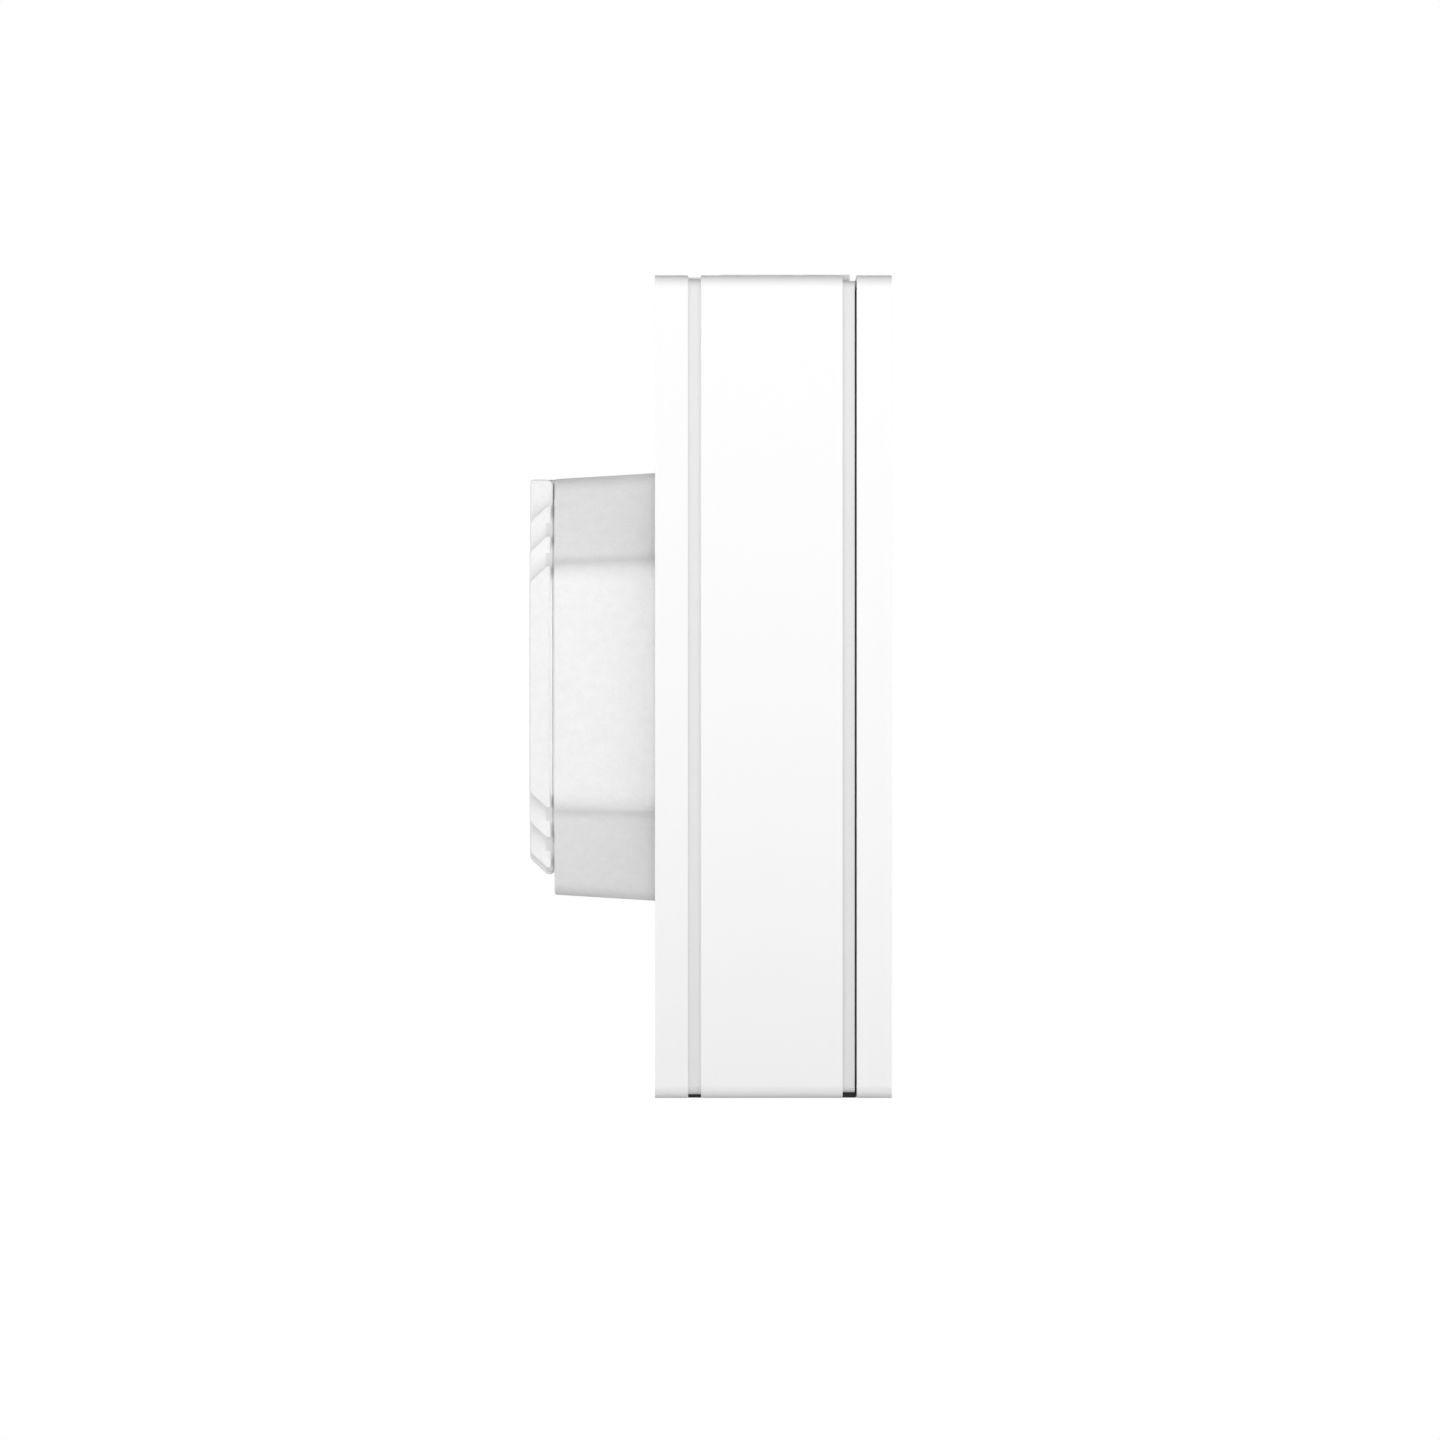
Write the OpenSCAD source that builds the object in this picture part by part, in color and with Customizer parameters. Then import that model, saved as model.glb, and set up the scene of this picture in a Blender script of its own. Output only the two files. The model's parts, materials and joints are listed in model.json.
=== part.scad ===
// Flush-mounted wired video doorbell.
// Origin: centre of the wall plane, at the back face of the wall bracket.
// +Z is up, the front looks along -Y, the in-wall box reaches into the wall along +Y.

/* [Body] */
// Width of the body, across the wall
body_w = 70; // [66:1:74]
// Height of the body
body_h = 122; // [120:1:126]
// Radius of the four outline corners
corner_r = 1.9; // [1.5:0.1:3]
// Thickness of the housing's side walls
wall = 2.2; // [1.8:0.1:2.6]

/* [Depths] */
// Thickness of the wall bracket
bracket_t = 4.9; // [4.5:0.1:6]
// Width of the rear seam
rear_seam = 1.9; // [1.9:0.1:2.4]
// Depth of the main housing
housing_d = 21; // [21:0.5:24]
// Width of the front seam
front_seam = 1.8; // [1.8:0.1:2.4]
// Open gap behind the faceplate
face_gap = 0.3; // [0.2:0.05:0.5]
// Depth of the faceplate
faceplate_d = 5.2; // [5.2:0.1:6]
// How far the rear gasket sits inside the outline
rear_inset = 0.55; // [0.3:0.05:1]
// How far the front gasket sits inside the outline
front_inset = 0.85; // [0.85:0.05:1.2]

/* [In-wall box] */
// Height of the box at the wall
box_h = 64; // [62:0.5:66]
// Width of the box at the wall
box_w = 46; // [46:0.5:50]
// How far the box reaches into the wall, without its cover
box_d = 15.1; // [15.1:0.1:20]
// Corner chamfer of the box's octagonal outline
box_chamfer = 14; // [13.5:0.5:14.5]
// Draft of the box on each side, over its whole depth
box_draft = 0.9; // [0.5:0.1:1.2]
// Thickness of the ribbed terminal cover, ribs included
cover_t = 3.65; // [3.65:0.05:4]
// Distance between the ribs of the terminal cover
rib_pitch = 4.5; // [4.2:0.1:4.6]
// Width of one rib
rib_w = 1.8; // [1.4:0.1:2.2]

/* [Front] */
// Width of the camera window
window_w = 54; // [48:1:56]
// Height of the camera window
window_h = 40; // [36:1:40]
// Height of the camera above the centre
camera_z = 34; // [34:0.5:34.5]
// Radius of the bell button
button_r = 12.5; // [12:0.1:12.7]
// Height of the button's centre
button_z = -20; // [-20:0.5:-19.5]
// Height of the motion sensor's centre
pir_z = 4.5; // [4:0.5:4.5]
// Height of the loudspeaker's centre
speaker_z = -46.5; // [-46.5:0.1:-46.2]

/* [Mounting] */
// Distance between the two wall screws
screw_spacing = 83.3; // [80:0.1:84]
// Radius of the wall screw holes
screw_hole_r = 2.1; // [1.8:0.1:2.4]

/* [Travel] */
// Stroke of the bell button
button_travel = 0.6; // [0.3:0.1:0.6]
// Stroke of the release latch at the top
latch_travel = 0.8; // [0.6:0.1:0.8]
// Stroke of the setup button underneath
setup_travel = 0.4; // [0.2:0.1:0.4]

/* [Hidden] */
$fn = 64;
eps = 0.01;
// Stations along Y, from the wall to the front
y_bracket = -bracket_t;
y_housing_back = y_bracket - rear_seam;
y_housing_front = y_housing_back - housing_d;
y_seam_front = y_housing_front - front_seam;
y_face_back = y_seam_front - face_gap;
y_face_front = y_face_back - faceplate_d;
back_wall = 2;
y_inside = y_housing_back - back_wall;
face_wall = 2;
y_face_inside = y_face_front + face_wall;
face_side = 1.6;
chassis_t = 2;
y_chassis = y_seam_front - chassis_t;
board_t = 1.6;
y_main_board = -24.6;
y_main_back = y_main_board + board_t;
flange_t = 2;
y_flange = y_inside - flange_t;
y_floor_front = 1;
y_floor_back = 3;
// Fits
box_gap = 0.3;
box_taper = [1 - 2 * box_draft / box_w, 1 - 2 * box_draft / box_h];
screw_r = 1;
screw_core_r = 1.05;
screw_pass_r = 1.1;
// Hinge of the terminal cover: the four middle ribs are its ears, and two lugs of the box stand between them
pin_r = 0.6;
ear_r = 1.1;
hinge_y = box_d + ear_r + 0.1;
hinge_z = 29.9;
lug_x = 5.15;
lug_w = 2.3;
pin_reach = 7.9;
// Places that two or more pieces share
chassis_screw_x = 28.2;
chassis_screw_z = 54;
post_x = 26;
post_top_z = 17;
post_bottom_z = -33;
holder_ear_x = 13;
power_post_x = 13;
power_post_z = 17;
box_screw_x = 26.5;
box_screw_z = 14;
hook_x = 18;
swing_hook_x = 17;
swing_hook_r = 2.2;
swing_z = body_h / 2;
security_y = -31.7;
setup_x = 18;
setup_y = -17;
mic_x = 24;
mic_z = 6;
led_x = 16;
led_pitch = 8;
ring_led_r = 14;
// Gap that is left at the end of a stroke, and the faces that the strokes end at
stop_gap = 0.1;
y_button_seal = -32.1;
y_plunger = -30;
z_setup_plunger = -57.1;
z_latch_recess = 58.3;
ribs = [for (s = [-1, 1], i = [0 : 4]) s * (2.9 + i * rib_pitch)];

// ---------- shared shapes ----------

// Box between two opposite corners
module bar(lo, hi) translate(lo) cube(hi - lo);

// Stands an outline up in the XZ plane and gives it the depth from y_front back to y_back
module slab(y_front, y_back)
    translate([0, y_back, 0]) rotate([90, 0, 0]) linear_extrude(y_back - y_front) children();

// Round rod along Y
module rod_y(r, y_front, y_back)
    translate([0, y_back, 0]) rotate([90, 0, 0]) cylinder(r = r, h = y_back - y_front);

// Round rod along X, centred
module rod_x(r, length) rotate([0, 90, 0]) cylinder(r = r, h = length, center = true);

// Moves its children across the wall plane
module at(x, z) translate([x, 0, z]) children();

// Repeats its children at the four corners of a rectangle
module corners(x, z)
    for (sx = [-1, 1], sz = [-1, 1]) translate([sx * x, 0, sz * z]) children();

module round_rect(w, h, r) {
    square([w - 2 * r, h], center = true);
    square([w, h - 2 * r], center = true);
    for (sx = [-1, 1], sy = [-1, 1])
        translate([sx * (w / 2 - r), sy * (h / 2 - r)]) circle(r);
}

// Slot with round ends
module slot(length, w) {
    square([length - w, w], center = true);
    for (s = [-1, 1]) translate([s * (length - w) / 2, 0]) circle(w / 2);
}

module outline(inset = 0) round_rect(body_w - 2 * inset, body_h - 2 * inset, corner_r - inset);

module octagon(w, h, c)
    polygon([
        [w / 2, c - h / 2], [w / 2, h / 2 - c], [w / 2 - c, h / 2], [c - w / 2, h / 2],
        [-w / 2, h / 2 - c], [-w / 2, c - h / 2], [c - w / 2, -h / 2], [w / 2 - c, -h / 2]
    ]);

// Points of the arc of radius r that rounds the corner b between a and c
function rounding(a, b, c, r, steps = 6) =
    let (u = (a - b) / norm(a - b), v = (c - b) / norm(c - b), half = acos(u * v) / 2)
    let (centre = b + (u + v) / norm(u + v) * r / sin(half))
    let (from = b + u * r / tan(half) - centre, to = b + v * r / tan(half) - centre)
    [for (i = [0 : steps]) let (m = from * (1 - i / steps) + to * i / steps) centre + m * r / norm(m)];

// The in-wall box's outline: eight-sided, with a small step where each slanted face leaves the flat side
module box_outline() {
    side_z = box_h / 2 - box_chamfer - 0.2;
    quarter = [[box_w / 2, side_z], [box_w / 2 - 3, side_z + 1.8], [box_w / 2 - box_chamfer, box_h / 2]];
    radii = [4, 6, 6, 6, 6, 4, 4, 6, 6, 6, 6, 4];
    points = concat(
        quarter, [for (i = [2 : -1 : 0]) [-quarter[i][0], quarter[i][1]]],
        -quarter, [for (i = [2 : -1 : 0]) [quarter[i][0], -quarter[i][1]]]);
    last = len(points) - 1;
    polygon([for (i = [0 : last]) each
        rounding(points[i == 0 ? last : i - 1], points[i], points[i == last ? 0 : i + 1], radii[i])]);
}

// The straight-sided hollow of the in-wall box
module box_hollow() octagon(box_w - 5.6, box_h - 5.6, box_chamfer - 0.8);

// One M2 screw: its head stands on y = 0 and its shank runs towards +Y
module m2_screw(head_r = 1.9, head_h = 1.3, shank = 3.4) {
    difference() {
        rod_y(head_r, -head_h, 0);
        for (a = [0, 90]) rotate([0, a, 0]) bar([-1.2, -head_h - eps, -0.25], [1.2, -head_h + 0.6, 0.25]);
    }
    rod_y(screw_r, -eps, shank);
}

// Wire coil around Z, from z = 0 to z = length, as one swept polyhedron
module coil(r, wire_r, turns, length) {
    sides = 8;
    steps = round(turns * 14);
    span = length - 2 * wire_r;
    rings = [for (i = [0 : steps]) let (a = 360 * turns * i / steps)
        for (j = [0 : sides - 1]) let (b = 360 * j / sides, q = r + wire_r * cos(b))
            [q * cos(a), q * sin(a), wire_r + span * i / steps + wire_r * sin(b)]];
    walls = [for (i = [0 : steps - 1], j = [0 : sides - 1]) let (k = (j + 1) % sides)
        [i * sides + j, (i + 1) * sides + j, (i + 1) * sides + k, i * sides + k]];
    start = [[for (j = [0 : sides - 1]) j]];
    finish = [[for (j = [sides - 1 : -1 : 0]) steps * sides + j]];
    polyhedron(rings, concat(start, walls, finish), convexity = 8);
}

// Flat ribbon of width w along X, following points in the YZ plane with mitred bends
module ribbon(points, t, w) {
    last = len(points) - 1;
    ways = [for (i = [0 : last - 1]) (points[i + 1] - points[i]) / norm(points[i + 1] - points[i])];
    sides = [for (i = [0 : last]) let (m = ways[max(0, i - 1)] + ways[min(last - 1, i)])
        t / (m * m) * [-m[1], m[0]]];
    translate([-w / 2, 0, 0]) rotate([90, 0, 90]) linear_extrude(w)
        polygon(concat(
            [for (i = [0 : last]) points[i] + sides[i]],
            [for (i = [last : -1 : 0]) points[i] - sides[i]]));
}

// ---------- shells and seals ----------

module wall_bracket() color("whitesmoke") {
    rim = 3;
    floor_t = 2.5;
    opening_rim = 2;
    boss_r = 6;
    head_r = 3.9;
    difference() {
        slab(y_bracket, 0) outline();
        slab(y_bracket - 1, -floor_t) difference() {
            round_rect(body_w - 2 * rim, body_h - 2 * rim, 1);
            let (grow = 2 * (box_gap + opening_rim)) octagon(box_w + grow, box_h + grow, box_chamfer + 1);
            for (s = [-1, 1]) translate([0, s * screw_spacing / 2]) circle(boss_r);
        }
        slab(y_bracket - 1, 1) octagon(box_w + 2 * box_gap, box_h + 2 * box_gap, box_chamfer);
        for (s = [-1, 1]) at(0, s * screw_spacing / 2) {
            rod_y(screw_hole_r, y_bracket - 1, 1);
            rod_y(head_r, y_bracket - 1, -floor_t);
        }
        // slot for the latch's stem, and the recess that its pad sinks into
        bar([-4.3, y_bracket - 1, 57.9], [4.3, -2.6, body_h / 2 + 1]);
        bar([-6.3, y_bracket - 1, 58.1], [6.3, -3.6, body_h / 2 + 1]);
    }
    // guides and spring seat of the latch
    for (s = [-1, 1]) bar([s * 5.05 - 0.75, y_bracket, 50], [s * 5.05 + 0.75, -floor_t + eps, 58 + eps]);
    bar([-3, y_bracket, 47.2], [3, -floor_t + eps, 48.2]);
    // hooks that carry the housing's lower edge
    for (s = [-1, 1]) at(s * hook_x, 0) {
        bar([-2.5, -10.4, -53.5], [2.5, -floor_t + eps, -51.5]);
        bar([-2.5, -10.4, -55], [2.5, -9.1, -53.5 + eps]);
    }
}

module rear_gasket() color("gainsboro")
    difference() {
        slab(y_housing_back, y_bracket) difference() {
            outline(rear_inset);
            round_rect(61.9, 113.9, 1);
        }
        bar([-6.3, y_housing_back - 1, 58.2], [6.3, y_bracket + 1, body_h / 2]);
    }

// Two black foam strips that close the undersides of the seams
module drip_seals() color("black") {
    half = body_w / 2 - corner_r;
    low = -body_h / 2 + 0.05;
    front_top = -body_h / 2 + front_inset;
    bar([-half, y_housing_back, low], [half, y_bracket, -body_h / 2 + rear_inset]);
    bar([-half, y_seam_front - 0.2, low], [half, y_housing_front, front_top]);
    bar([-half, y_seam_front - 0.2, front_top - eps], [half, y_seam_front, -59.1]);
}

module main_housing() color("white") {
    boss_r = 2.6;
    difference() {
        union() {
            difference() {
                slab(y_housing_front, y_housing_back) outline();
                slab(y_housing_front - 1, y_inside) round_rect(body_w - 2 * wall, body_h - 2 * wall, 0.8);
            }
            corners(chassis_screw_x, chassis_screw_z) rod_y(boss_r, y_seam_front, y_inside + eps);
            for (sx = [-1, 1], sz = [-1, 1])
                at(sx * 31, sz * chassis_screw_z) bar([-2, y_housing_front, -0.75], [2, y_inside + eps, 0.75]);
            // backing of the latch pocket
            bar([-8, y_inside - 1.2, 57], [8, y_inside + eps, 58.9]);
            // cradle of the backup cell
            for (z = [40.2, 46]) difference() {
                bar([-27.5, -14, z], [-18.5, y_inside + eps, z + 1.5]);
                translate([-23, setup_y, 0]) cylinder(r = 5.55, h = body_h / 2);
            }
            // stands of the setup switch's board
            for (x = [13, 23]) translate([x, -14, -59]) cylinder(r = 1.6, h = 4.8);
        }
        slab(y_flange - 1, y_bracket) octagon(box_w + 2 * box_gap, box_h + 2 * box_gap, box_chamfer);
        corners(chassis_screw_x, chassis_screw_z) rod_y(screw_core_r, y_seam_front - 1, y_housing_front + 8);
        corners(box_screw_x, box_screw_z) rod_y(screw_core_r, y_inside - 1, y_housing_back - 0.5);
        // slots for the bracket's hooks and for the latch
        for (s = [-1, 1]) at(s * hook_x, 0) bar([-3, y_inside - 1, -53.9], [3, y_bracket, -51.1]);
        bar([-3.4, y_inside - 1, 50.9], [3.4, y_bracket, 54.3]);
        bar([-6.3, -8.6, 58.1], [6.3, y_bracket, body_h / 2 + 1]);
        // bed of the antenna cover
        bar([-25.1, y_housing_front - 1, 60.2], [25.1, -9.7, body_h / 2 + 1]);
        // hole of the setup button
        translate([setup_x, setup_y, -body_h / 2 - 1]) cylinder(r = 1.7, h = 4);
    }
}

module front_gasket() color("gainsboro")
    slab(y_seam_front, y_housing_front) difference() {
        outline(front_inset);
        round_rect(62.3, 114.3, 1);
    }

module front_chassis() color("dimgray")
    difference() {
        union() {
            slab(y_chassis, y_seam_front) round_rect(65.6, 117.6, 1.2);
            // posts of the main board, camera and button board
            for (x = [-post_x, post_x], z = [post_bottom_z, post_top_z])
                at(x, z) rod_y(2.3, y_seam_front - eps, y_main_board);
            for (s = [-1, 1]) at(s * holder_ear_x, camera_z) rod_y(1.9, y_seam_front - eps, -24);
            for (a = [90, 210, 330])
                at(10 * cos(a), button_z + 10 * sin(a)) rod_y(1.4, y_seam_front - eps, -27.6);
            // collar around the loudspeaker
            at(0, speaker_z) difference() {
                rod_y(10.5, y_seam_front - eps, -26);
                rod_y(9.75, y_seam_front - 1, -25);
            }
            // hooks that the faceplate hangs on
            for (s = [-1, 1]) at(s * swing_hook_x, 0) {
                bar([-3, -31.4, 58], [3, y_face_back, 59.2]);
                intersection() {
                    translate([0, y_face_back, swing_z]) rod_x(swing_hook_r, 6);
                    bar([-3, -32.4, 59.1], [3, y_face_back, 60]);
                }
            }
            // lug for the security screw
            bar([-3.2, -32.8, -58.8], [3.2, y_chassis + eps, -56]);
        }
        at(0, camera_z) rod_y(7.4, y_chassis - 1, y_seam_front + 1);
        at(0, button_z) rod_y(2.4, y_chassis - 1, y_seam_front + 1);
        for (a = [22.5 : 45 : 337.5])
            at(ring_led_r * cos(a), button_z + ring_led_r * sin(a))
                rod_y(0.8, y_chassis - 1, y_seam_front + 1);
        at(0, pir_z) rod_y(5.2, y_chassis - 1, y_seam_front + 1);
        at(mic_x, mic_z) rod_y(0.8, y_chassis - 1, y_seam_front + 1);
        at(0, speaker_z) rod_y(7.2, y_chassis - 1, y_seam_front + 1);
        for (x = [-led_x, led_x], i = [-1 : 1])
            at(x, camera_z + i * led_pitch) rod_y(1.7, y_chassis - 1, y_seam_front + 1);
        corners(chassis_screw_x, chassis_screw_z) {
            rod_y(screw_pass_r, y_chassis - 1, y_seam_front + 1);
            rod_y(2.1, y_chassis - 1, y_chassis + 1.3);
        }
        for (x = [-post_x, post_x], z = [post_bottom_z, post_top_z])
            at(x, z) rod_y(screw_core_r, -28.6, y_main_board + 1);
        for (s = [-1, 1]) at(s * holder_ear_x, camera_z) rod_y(screw_core_r, -27, -23);
        // open-fronted slot that the security screw drops into
        translate([0, security_y, -60]) cylinder(r = 1.15, h = 5);
        bar([-1.15, -34, -60], [1.15, security_y, -55]);
    }

module faceplate() color("white")
    difference() {
        union() {
            difference() {
                slab(y_face_front, y_face_back) outline();
                slab(y_face_inside, y_face_back + 1)
                    round_rect(body_w - 2 * face_side, body_h - 2 * face_side, 1);
            }
            // finger lip on the top edge
            translate([-12, 0, body_h / 2]) rotate([90, 0, 90]) linear_extrude(24)
                polygon([[y_face_front + 0.4, -0.4], [y_face_front + 0.4, 0], [-30.8, 0.45], [-30.8, -0.4]]);
        }
        at(0, camera_z) slab(y_face_front - 1, y_face_back) round_rect(window_w + 0.6, window_h + 0.6, 3);
        at(0, pir_z) rod_y(6.1, y_face_front - 1, y_face_back);
        at(0, button_z) rod_y(button_r + 2.45, y_face_front - 1, y_face_back);
        at(mic_x, mic_z) rod_y(0.6, y_face_front - 1, y_face_back);
        for (i = [-2 : 2]) at(0, speaker_z + i * 2.6)
            slab(y_face_front - 1, y_face_back) slot(14 - abs(i) * 2, 1.2);
        // round pockets for the chassis' two hooks
        for (s = [-1, 1]) at(s * swing_hook_x, 0) intersection() {
            translate([0, y_face_back, swing_z]) rod_x(swing_hook_r + 0.4, 6.8);
            bar([-3.4, -33, 58], [3.4, y_face_back + 1, 60.3]);
        }
        translate([0, security_y, -body_h / 2 - 1]) cylinder(r = 1.5, h = 2);
        translate([0, security_y, -body_h / 2 - 1]) cylinder(r = 1.08, h = 4);
    }

module camera_window() color([0.05, 0.05, 0.06])
    at(0, camera_z) {
        slab(y_face_front + 0.2, y_face_inside + eps) round_rect(window_w, window_h, 2.7);
        slab(y_face_inside, y_face_inside + 0.8) round_rect(window_w + 4, window_h + 4, 3.5);
    }

module pir_lens() color("snow")
    at(0, pir_z) difference() {
        union() {
            rod_y(5.8, y_face_front + 0.2, y_face_inside + 0.4);
            rod_y(7, y_face_inside, y_face_inside + 0.8);
        }
        intersection() {
            translate([0, -26.2, 0]) sphere(8.4);
            rod_y(5.1, y_face_front + 0.5, y_face_inside + 2);
        }
    }

module in_wall_box() color("whitesmoke")
    difference() {
        union() {
            slab(y_flange, y_inside) octagon(60, 78, 15);
            slab(y_inside - eps, 0) box_outline();
            rotate([-90, 0, 0]) linear_extrude(box_d, slices = 1, scale = box_taper) box_outline();
            for (s = [-1, 1]) at(s * lug_x, 0)
                bar([-lug_w / 2, box_d - 0.5, 28.1], [lug_w / 2, hinge_y + 1.7, 31]);
        }
        slab(y_flange - 1, y_floor_front) box_hollow();
        slab(y_floor_back, box_d + 1) intersection() {
            box_hollow();
            translate([-25, -27.4]) square([50, 53]);
        }
        // pins of the jack and of the terminals pass through the floor
        bar([-13.5, 0, 12], [-1.5, 4, 16]);
        bar([6, 0, -18], [9, 4, -2]);
        // cable exit through the lower wall
        bar([0, 8, -33], [6.5, box_d + 1, -27]);
        corners(power_post_x, power_post_z) rod_y(screw_core_r, 0, 2.2);
        corners(box_screw_x, box_screw_z) rod_y(screw_pass_r, y_flange - 1, y_inside + 1);
        translate([0, hinge_y, hinge_z]) rod_x(pin_r + 0.02, 16);
    }

module terminal_cover() color("whitesmoke") {
    plate_front = box_d + 0.2;
    plate_back = box_d + 1.2;
    back = box_d + cover_t;
    foot = plate_front + 0.9;
    top = 27.1;
    bottom = -28;
    tip_w = box_w - 2 * box_draft;
    tip_h = box_h - 2 * box_draft;
    end_drop = 2.4;
    difference() {
        union() {
            slab(plate_front, plate_back) intersection() {
                octagon(tip_w - 0.8, tip_h - 0.8, box_chamfer + 0.6);
                translate([-30, bottom + 0.4]) square([60, top - bottom - 0.6]);
            }
            for (x = ribs) translate([x - rib_w / 2, 0, 0]) {
                reach = tip_h / 2 - max(0, abs(x) - (tip_w / 2 - box_chamfer)) - 0.2;
                up = min(reach, top);
                down = -min(reach, -bottom);
                rotate([90, 0, 90]) linear_extrude(rib_w)
                    polygon([[plate_front, down], [foot, down], [back, down + end_drop],
                        [back, up - end_drop], [foot, up], [plate_front, up]]);
                // the middle ribs go on past the hinge
                if (abs(x) < 8) {
                    bar([0, hinge_y, top - end_drop], [rib_w, back, hinge_z + ear_r]);
                    bar([0, hinge_y - ear_r, top - 1], [rib_w, hinge_y + eps, hinge_z]);
                    translate([rib_w / 2, hinge_y, hinge_z]) rod_x(ear_r, rib_w);
                }
            }
            // tongue that snaps into the bay
            bar([-7, box_d - 1.9, -26.9], [-1, plate_front + eps, -26.1]);
        }
        translate([6, hinge_y, hinge_z]) rod_x(pin_r + 0.05, 28);
    }
}

module hinge_pin() color("silver")
    translate([0, hinge_y, hinge_z]) rod_x(pin_r, 2 * pin_reach);

module antenna_cover() color("snow")
    bar([-25, -28.9, 60.2], [25, -9.8, body_h / 2 + 0.25]);

// ---------- release latch ----------

module top_latch() color("whitesmoke") {
    pad_z = z_latch_recess + latch_travel + stop_gap;
    bar([-6, -8.3, pad_z], [6, -3.9, body_h / 2 + 0.25]);
    bar([-4, -4.5, 52], [4, -3.9, pad_z + eps]);
    bar([-4, -4, 52], [4, -2.9, 58.9]);
    bar([-3, -10.4, 52], [3, -4.4, 53.7]);
    bar([-3, -10.4, 53.6], [3, -9.1, 55]);
}

module latch_spring() color("silver")
    translate([0, -3.7, 48.25]) coil(0.75, 0.2, 4, 3.7);

// ---------- terminal bay ----------

module rj45_jack() color("silver")
    difference() {
        bar([-15.5, y_floor_back, -1], [0.5, 14.6, 20]);
        bar([-13.3, 5.2, -2], [-1.7, 13.2, 14]);
        bar([-10.4, 13, -2], [-4.6, 13.9, 10]);
        for (i = [0 : 7]) bar([-11.4 + i * 1.02, 4.2, 1], [-10.8 + i * 1.02, 5.3, 13]);
    }

module terminal_block() color("darkgreen") {
    way = 5.08;
    difference() {
        bar([4.5, y_floor_back, -20.3], [15.5, 13.2, 0]);
        for (i = [0.5 : 3.5]) translate([10, 0, -i * way]) {
            rod_y(1.9, 9, 14);
            translate([-4, 6.4, 0]) rod_x(1.5, 9);
        }
    }
}

module terminal_screws() color("silver")
    for (i = [0.5 : 3.5]) at(10, -i * 5.08) difference() {
        rod_y(1.8, 9, 12.6);
        bar([-2, 11.9, -0.3], [2, 13, 0.3]);
    }

// ---------- bell button ----------

module button_cap() color("white") {
    y_front = -35;
    y_back = y_button_seal - button_travel - stop_gap;
    at(0, button_z) {
        difference() {
            union() {
                rod_y(button_r, y_front, y_back);
                rod_y(button_r + 0.7, y_back - 0.6, y_back);
            }
            rod_y(button_r - 1.5, y_back - 0.4, y_back + 1);
            // shallow dish for the fingertip
            translate([0, y_front - 99.5, 0]) sphere(99.9, $fn = 128);
        }
        rod_y(2, y_back - 0.4 - eps, y_plunger - button_travel - stop_gap);
    }
}

module light_ring() color("azure")
    at(0, button_z) difference() {
        rod_y(button_r + 2.1, -34.9, y_chassis);
        rod_y(button_r + 0.3, -36, y_chassis + 1);
        rod_y(button_r + 1, -33.7, y_chassis + 1);
    }

module button_seal() color("dimgray")
    at(0, button_z) difference() {
        rod_y(12.2, y_button_seal, y_chassis);
        rod_y(5.5, -33, y_chassis + 1);
    }

module button_spring() color("silver")
    translate([0, y_chassis, button_z]) rotate([90, 0, 0]) coil(4.2, 0.2, 2.5, 1.55);

module button_board() color("green")
    at(0, button_z) difference() {
        rod_y(15.4, -27.6, -26.4);
        for (s = [-1, 1]) at(s * 4, 0) rod_y(0.5, -28, -26);
    }

module tact_switch() color("black")
    at(0, button_z) {
        bar([-3, -29.4, -3], [3, -27.6, 3]);
        rod_y(1.5, y_plunger, -29.3);
    }

module ring_leds() color("ivory")
    for (a = [22.5 : 45 : 337.5])
        at(ring_led_r * cos(a), button_z + ring_led_r * sin(a)) bar([-0.8, -28.4, -0.8], [0.8, -27.6, 0.8]);

// ---------- camera ----------

module lens_barrel() color("black")
    at(0, camera_z) difference() {
        union() {
            rod_y(7, -31.9, -30.4);
            rod_y(6.2, -31, -21);
        }
        rod_y(5, -32.5, -28.4);
        rod_y(4, -29, -20);
    }

module lens_element() color("midnightblue")
    at(0, camera_z) {
        intersection() {
            rod_y(4.98, -31.4, -28.4);
            translate([0, -31.4 + 9, 0]) sphere(9);
        }
        intersection() {
            rod_y(3.98, -27.6, -24.6);
            translate([0, -27.6 + 8, 0]) sphere(8);
            translate([0, -24.6 - 8, 0]) sphere(8);
        }
    }

module lens_seal() color("black")
    at(0, camera_z) translate([0, -29.8, 0]) rotate([90, 0, 0])
        rotate_extrude() translate([6.8, 0]) circle(0.59);

module lens_holder() color("black") {
    half = 10;
    at(0, camera_z) difference() {
        union() {
            bar([-half, -24, -half], [half, -16.4, half]);
            bar([-15.2, -24, -2.5], [15.2, -22.6, 2.5]);
        }
        rod_y(6.25, -25, -20.6);
        rod_y(5, -21, -20);
        bar([-9.2, -20.2, -4.25], [half + 1, -18.4, 4.25]);
        bar([-3.5, -19, -3.5], [3.5, -17, 3.5]);
        bar([-6, -17.6, -6], [6, -15, 6]);
        for (s = [-1, 1]) at(s * holder_ear_x, 0) rod_y(screw_pass_r, -25, -22);
    }
}

module ircut_carriage() color("black")
    at(0, camera_z) difference() {
        bar([-8.7, -19.9, -4], [3.9, -18.7, 4]);
        for (x = [-5.6, 0]) bar([x - 2.5, -21, -2.5], [x + 2.5, -18, 2.5]);
    }

module ircut_filter() color([0.6, 0.75, 0.9, 0.6])
    at(0, camera_z) for (x = [-5.6, 0]) bar([x - 2.5, -19.6, -2.5], [x + 2.5, -19.1, 2.5]);

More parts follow.
